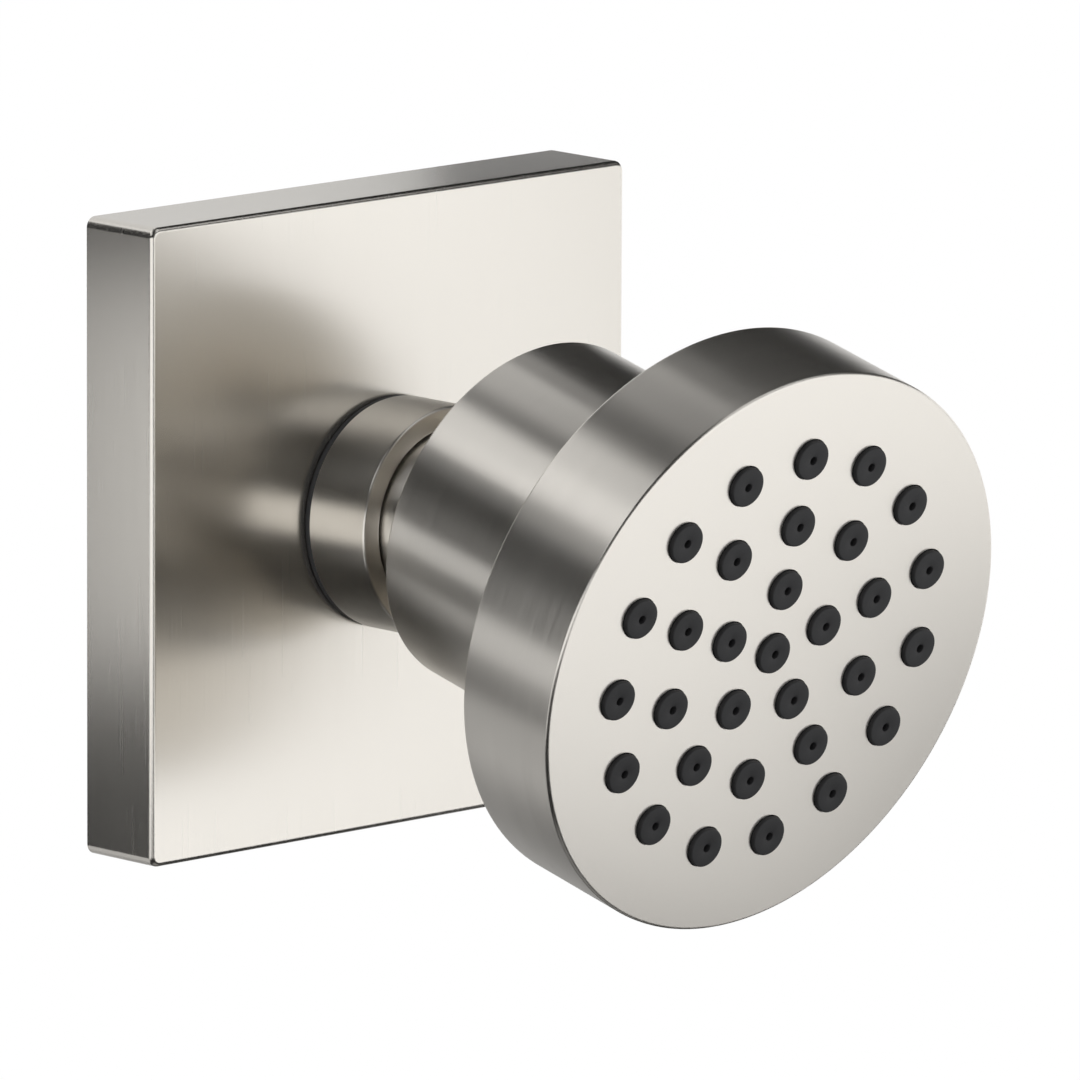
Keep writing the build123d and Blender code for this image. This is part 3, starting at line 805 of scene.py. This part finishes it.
class StemOperator(bpy.types.Operator):
    """Turns the stem with its neck and ball"""

    bl_idname = "body_jet.stem"
    bl_label = "Ball stem"

    def execute(self, context):
        sizes = context.scene.jet_sizes
        pivot_height = -PIVOT.y
        arc_start = pi - sizes.neck_angle
        ball = []
        for step in range(BALL_STEPS + 1):
            lean = arc_start + (sizes.mouth_angle - arc_start) * step / BALL_STEPS
            ball.append((ball_r * sin(lean), pivot_height + ball_r * cos(lean)))
        grooves = []
        half = sizes.ring_groove_width / 2
        for back, front, radius in (
            (clip_back, clip_front, sizes.clip_groove_r),
            (sizes.back_groove - half, sizes.back_groove + half, sizes.ring_groove_r),
            (sizes.front_groove - half, sizes.front_groove + half, sizes.ring_groove_r),
        ):
            grooves += [(sizes.spigot_r, back), (radius, back), (radius, front), (sizes.spigot_r, front)]
        stem = turned(
            "stem",
            [
                (sizes.waterway_r, spigot_end),
                (sizes.spigot_r, spigot_end),
                *grooves,
                (sizes.spigot_r, sizes.neck_back),
                (sizes.neck_r, sizes.neck_back),
                (sizes.neck_r, sizes.neck_front),
                *ball,
                (sizes.waterway_r, ball[-1][1] - sizes.mouth_depth),
            ],
            sizes.steps,
        )
        set_in_place(stem, WALL_TILT, ORIGIN)
        finish_piece(
            stem, "neck_and_ball", "nickel_turned_wall", "swivel_stem", "ball_stem"
        )
        return {"FINISHED"}


def thread_rod(sizes):
    """Winds one thread's outline up a screw and closes its ends: a solid rod, longer than the thread."""
    half_pitch = sizes.thread_pitch / 2
    root_r = sizes.thread_r - sizes.thread_depth
    whole_arc = pi / 2 - FLANK
    arc = (whole_arc, whole_arc / 2)
    side = [sizes.thread_round * sin(lean) for lean in arc]
    drop = [sizes.thread_round * (1 - cos(lean)) for lean in arc]
    rise = [
        (root_r, -half_pitch),
        (root_r + drop[1], side[1] - half_pitch),
        (root_r + drop[0], side[0] - half_pitch),
        (sizes.thread_r - drop[0], -side[0]),
        (sizes.thread_r - drop[1], -side[1]),
        (sizes.thread_r, 0),
    ]
    outline = rise + [(radius, -height) for radius, height in reversed(rise[:-1])]
    turns = int((inlet_front - inlet_back) / sizes.thread_pitch)
    start = inlet_back - SPARE_TURNS * sizes.thread_pitch
    bpy.ops.object.select_all(action="DESELECT")
    bpy.ops.mesh.primitive_plane_add(size=MM, location=(outline[0][0], 0, start + outline[0][1]))
    rod = named("thread")
    bpy.ops.object.mode_set(mode="EDIT")
    bpy.ops.mesh.select_mode(type="VERT")
    bpy.ops.mesh.select_all(action="SELECT")
    bpy.ops.mesh.merge(type="CENTER")
    for (radius, height), (next_radius, next_height) in zip(outline, outline[1:]):
        step = (next_radius - radius, 0, next_height - height)
        bpy.ops.mesh.extrude_vertices_move(TRANSFORM_OT_translate={"value": step})
    bpy.ops.object.mode_set(mode="OBJECT")
    winding = rod.modifiers.new("winding", "SCREW")
    winding.screw_offset = sizes.thread_pitch
    winding.iterations = turns
    winding.steps = winding.render_steps = sizes.steps // 2
    winding.use_merge_vertices = True
    winding.merge_threshold = DOUBLED
    bpy.ops.object.modifier_apply(modifier=winding.name)
    bpy.ops.object.mode_set(mode="EDIT")
    ends = ((inlet_back - sizes.thread_lead, "clear_inner"), (sizes.thread_lead, "clear_outer"))
    for height, end in ends:
        bpy.ops.mesh.select_all(action="SELECT")
        bpy.ops.mesh.bisect(
            plane_co=(0, 0, height), plane_no=(0, 0, 1), use_fill=True, threshold=ON_PLANE, **{end: True}
        )
    close_up()
    return rod


class InletOperator(bpy.types.Operator):
    """Models the threaded inlet with its hexagon collar and stepped bore"""

    bl_idname = "body_jet.inlet"
    bl_label = "Inlet"

    def execute(self, context):
        sizes = context.scene.jet_sizes
        inlet = thread_rod(sizes)
        lead_r = sizes.thread_r - sizes.thread_lead
        full_r = sizes.thread_r + sizes.slip
        lead = full_r - lead_r
        trim = turned(
            "trim",
            [(lead_r, inlet_back), (full_r, inlet_back + lead), (full_r, -lead), (lead_r, 0)],
            sizes.steps, ring=False,
        )
        combine(inlet, trim, "INTERSECT")
        core = turned(
            "core",
            [
                (sizes.relief_r, -sizes.thread_lead),
                (sizes.relief_r, sizes.collar_back + sizes.slip),
                (sizes.stub_r, sizes.collar_back + sizes.slip),
                (sizes.stub_r, inlet_front - sizes.stub_chamfer),
                (sizes.stub_r - sizes.stub_chamfer, inlet_front),
            ],
            sizes.steps, ring=False,
        )
        combine(inlet, core, "UNION")
        corner_r = sizes.collar_r / cos(pi / COLLAR_SIDES)
        bpy.ops.object.select_all(action="DESELECT")
        bpy.ops.mesh.primitive_cylinder_add(
            vertices=COLLAR_SIDES, radius=corner_r, depth=sizes.collar_front - sizes.collar_back,
            location=(0, 0, (sizes.collar_front + sizes.collar_back) / 2), rotation=(0, 0, pi / 2),
        )
        collar = named("collar")
        slope = (corner_r - sizes.collar_r) * tan(COLLAR_CHAMFER)
        cone = turned(
            "cone",
            [
                (sizes.collar_r, sizes.collar_back - sizes.slip),
                (corner_r, sizes.collar_back + slope),
                (corner_r, sizes.collar_front - slope),
                (sizes.collar_r, sizes.collar_front + sizes.slip),
            ],
            sizes.steps, ring=False,
        )
        combine(collar, cone, "INTERSECT")
        combine(inlet, collar, "UNION")
        bore = turned(
            "bore",
            [
                (strainer_r + sizes.slip, inlet_back - MM),
                (strainer_r + sizes.slip, strainer_front),
                (regulator_r + sizes.slip, strainer_front),
                (regulator_r + sizes.slip, regulator_front),
                (clip_r + sizes.slip, regulator_front),
                (clip_r + sizes.slip, clip_front + sizes.slip),
                (sizes.stem_bore_r, clip_front + sizes.slip),
                (sizes.stem_bore_r, inlet_front + MM),
            ],
            sizes.steps, ring=False,
        )
        combine(inlet, bore, "DIFFERENCE")
        clear_slivers(inlet)
        set_in_place(inlet, WALL_TILT, ORIGIN)
        finish_piece(
            inlet, "threaded_inlet", "brass_turned", "wall_fitting", "inlet_nipple"
        )
        return {"FINISHED"}


# CAD solids that show as they are, by finish
SOLID_FINISHES = {
    "nickel_turned_head": ["retaining_nut"],
    "black_rubber_matt": [
        "plate_gasket", "thread_seal", "strainer_washer", "regulator_o_ring",
        "stem_o_rings", "ball_seal", "cup_o_ring",
    ],
    "white_plastic_moulded": ["flow_regulator", "slide_washer", "thrust_ring", "backing_plate"],
    "steel_spring": ["strainer_mesh", "stem_clip", "spring_washer"],
}


class InnerFinishOperator(bpy.types.Operator):
    """Gives the inner pieces their finishes"""

    bl_idname = "body_jet.inner_finishes"
    bl_label = "Inner finishes"

    def execute(self, context):
        for finish, names in SOLID_FINISHES.items():
            for name in names:
                solid = frame["nodes"][name]
                solid.data.materials.clear()
                solid.data.materials.append(finish_of(finish))
        return {"FINISHED"}


# Stage

WHITE = (1, 1, 1, 1)
SENSOR_WIDTH = 36
CAMERA_RANGE = (0.1, 200)
KEY_AZIMUTH = radians(52)
KEY_ELEVATION = radians(-13)


def compass(azimuth, elevation):
    """The direction from the object to a place in the studio, by its two angles."""
    return Vector((sin(azimuth) * cos(elevation), -cos(azimuth) * cos(elevation), sin(elevation)))


def set_camera(stage):
    """Puts the camera where the photograph was taken from."""
    back = compass(stage.azimuth, stage.elevation)
    level = Vector((cos(stage.azimuth), sin(stage.azimuth), 0))
    over = back.cross(level)
    right = level * cos(stage.roll) + over * sin(stage.roll)
    up = over * cos(stage.roll) - level * sin(stage.roll)
    bpy.ops.object.camera_add()
    camera = bpy.context.active_object
    camera.name = "photo_camera"
    camera.matrix_world = Matrix.Translation(
        back * stage.distance + right * stage.aside + up * stage.above
    ) @ Matrix((right, up, back)).transposed().to_4x4()
    camera.data.lens = stage.lens
    camera.data.sensor_width = SENSOR_WIDTH
    camera.data.clip_start, camera.data.clip_end = CAMERA_RANGE
    bpy.context.scene.camera = camera


# Panels in the light tent: azimuth from and to, elevation from and to, in degrees, and brightness,
# where 1 is as bright as the white room. Where two of them overlap, the first one hangs in front.
TENT_PANELS = {
    "front": (-18, 57, -24, 12, 1.15),
    "high_front": (-3, 42, 12, 30, 1.15),
    "low_front": (6, 51, -39, -24, 1.15),
    "top_front": (-9, 66, 42, 84, 0.7),
    "left": (-102, -39, -18, 9, 1.1),
    "low_left": (-120, -87, -33, -3, 0.8),
    "high_left": (-108, -87, 27, 48, 1.15),
    "right": (60, 141, -27, 15, 1.0),
    "back": (141, 207, -12, 54, 0.7),
    "high_back": (150, 198, 54, 72, 0.65),
    "high_back_left": (207, 252, 36, 60, 0.95),
    "back_left": (222, 231, -12, 0, 1.15),
    "low_back": (78, 237, -45, -24, 0.5),
    "floor": (-180, 180, -90, -66, 0.2),
}
TENT_CELL = 3  # degrees, which the panels' edges keep to


def glow(name, brightness):
    """A material that shines evenly, for cloth that only reflections see."""
    material = bpy.data.materials.new(name)
    material.use_nodes = True
    material.cycles.emission_sampling = "NONE"
    tree = material.node_tree
    tree.nodes.clear()
    light = node(tree, "ShaderNodeEmission", {"Strength": brightness})
    node(tree, "ShaderNodeOutputMaterial", {"Surface": light.outputs[0]})
    return material


def panel_at(direction):
    """The name of the tent's panel that hangs in a direction, or nothing."""
    azimuth = degrees(atan2(direction.x, -direction.y))
    elevation = degrees(asin(direction.z))
    for name, (start, end, low, high, _) in TENT_PANELS.items():
        if (azimuth - start) % 360 < end - start and low < elevation < high:
            return name
    return None


def hang_tent(stage):
    """Hangs a dark tent with lit panels round the object, which only reflections see."""
    bpy.ops.object.select_all(action="DESELECT")
    bpy.ops.mesh.primitive_uv_sphere_add(
        segments=360 // TENT_CELL, ring_count=180 // TENT_CELL, radius=stage.tent_radius, location=PIVOT
    )
    tent = named("tent")
    tent.data.materials.append(glow("tent_cloth", stage.tent_shade))
    slots = {}
    for name, panel in TENT_PANELS.items():
        slots[name] = len(tent.data.materials)
        tent.data.materials.append(glow(f"tent_{name}", panel[-1]))
    for polygon in tent.data.polygons:
        name = panel_at((polygon.center - PIVOT).normalized())
        polygon.material_index = slots.get(name, 0)
    for ray in ("camera", "diffuse", "transmission", "volume_scatter", "shadow"):
        setattr(tent, f"visible_{ray}", False)


def add_key_light(stage):
    """A soft lamp for what isn't metal: the metal mirrors the tent instead."""
    way = compass(KEY_AZIMUTH, KEY_ELEVATION)
    bpy.ops.object.light_add(type="AREA", location=way * stage.key_distance)
    lamp = bpy.context.active_object
    lamp.name = "key_light"
    lamp.rotation_euler = way.to_track_quat("Z", "Y").to_euler()
    lamp.data.size = stage.key_size
    lamp.data.energy = stage.key_power
    lamp.visible_glossy = False


def add_floor(stage):
    """A pale floor that shows as white and keeps the object's shadow."""
    bpy.ops.object.select_all(action="DESELECT")
    bpy.ops.mesh.primitive_plane_add(size=stage.floor_size, location=(0, 0, stage.floor_height))
    floor = named("floor")
    material, tree, ground = shader("floor_pale")
    ground.inputs["Base Color"].default_value = (*stage.floor_colour, 1)
    ground.inputs["Roughness"].default_value = 1.0
    ground.inputs["Specular IOR Level"].default_value = 0.0
    ground.inputs["Emission Color"].default_value = WHITE
    rays = node(tree, "ShaderNodeLightPath").outputs
    seen = rays["Is Camera Ray"]
    for ray in ("Is Glossy Ray", "Is Transmission Ray"):
        seen = calculated(tree, "MAXIMUM", seen, rays[ray])
    lift = calculated(tree, "MULTIPLY", seen, stage.floor_lift)
    tree.links.new(lift, ground.inputs["Emission Strength"])
    floor.data.materials.append(material)


class StageOperator(bpy.types.Operator):
    """Sets up the white room, the floor, the light tent, the key light and the camera"""

    bl_idname = "body_jet.stage"
    bl_label = "Stage"

    def execute(self, context):
        stage = context.scene.jet_stage
        world = bpy.data.worlds.new("white_room")
        world.use_nodes = True
        world.node_tree.nodes["Background"].inputs["Color"].default_value = WHITE
        world.cycles.sampling_method = "NONE"
        context.scene.world = world
        add_floor(stage)
        hang_tent(stage)
        add_key_light(stage)
        set_camera(stage)
        context.scene.view_settings.view_transform = "Standard"
        return {"FINISHED"}


OPERATORS = [
    WallPlateOperator,
    InletOperator,
    SleeveOperator,
    StemOperator,
    BarrelOperator,
    SprayDiscOperator,
    NozzleOperator,
    InnerFinishOperator,
    StageOperator,
]


class JetPanel(bpy.types.Panel):
    """Lists the steps that build the body jet"""

    bl_idname = "VIEW3D_PT_body_jet"
    bl_label = "Body Jet"
    bl_space_type = "VIEW_3D"
    bl_region_type = "UI"
    bl_category = "Body Jet"

    def draw(self, context):
        for operator in OPERATORS:
            self.layout.operator(operator.bl_idname)


GROUPS = {"jet_sizes": JetSizes, "jet_finishes": JetFinishes, "jet_stage": JetStage}
CLASSES = [*GROUPS.values(), *OPERATORS, JetPanel]


def register():
    for kind in CLASSES:
        bpy.utils.register_class(kind)
    for name, group in GROUPS.items():
        setattr(bpy.types.Scene, name, PointerProperty(type=group))


def unregister():
    for name in GROUPS:
        delattr(bpy.types.Scene, name)
    for kind in reversed(CLASSES):
        bpy.utils.unregister_class(kind)


def main():
    """Builds every piece in order."""
    register()
    bpy.ops.body_jet.wall_plate()
    bpy.ops.body_jet.inlet()
    bpy.ops.body_jet.sleeve()
    bpy.ops.body_jet.stem()
    bpy.ops.body_jet.barrel()
    bpy.ops.body_jet.spray_disc()
    bpy.ops.body_jet.nozzles()
    bpy.ops.body_jet.inner_finishes()
    bpy.ops.body_jet.stage()


if __name__ == "__main__":
    main()
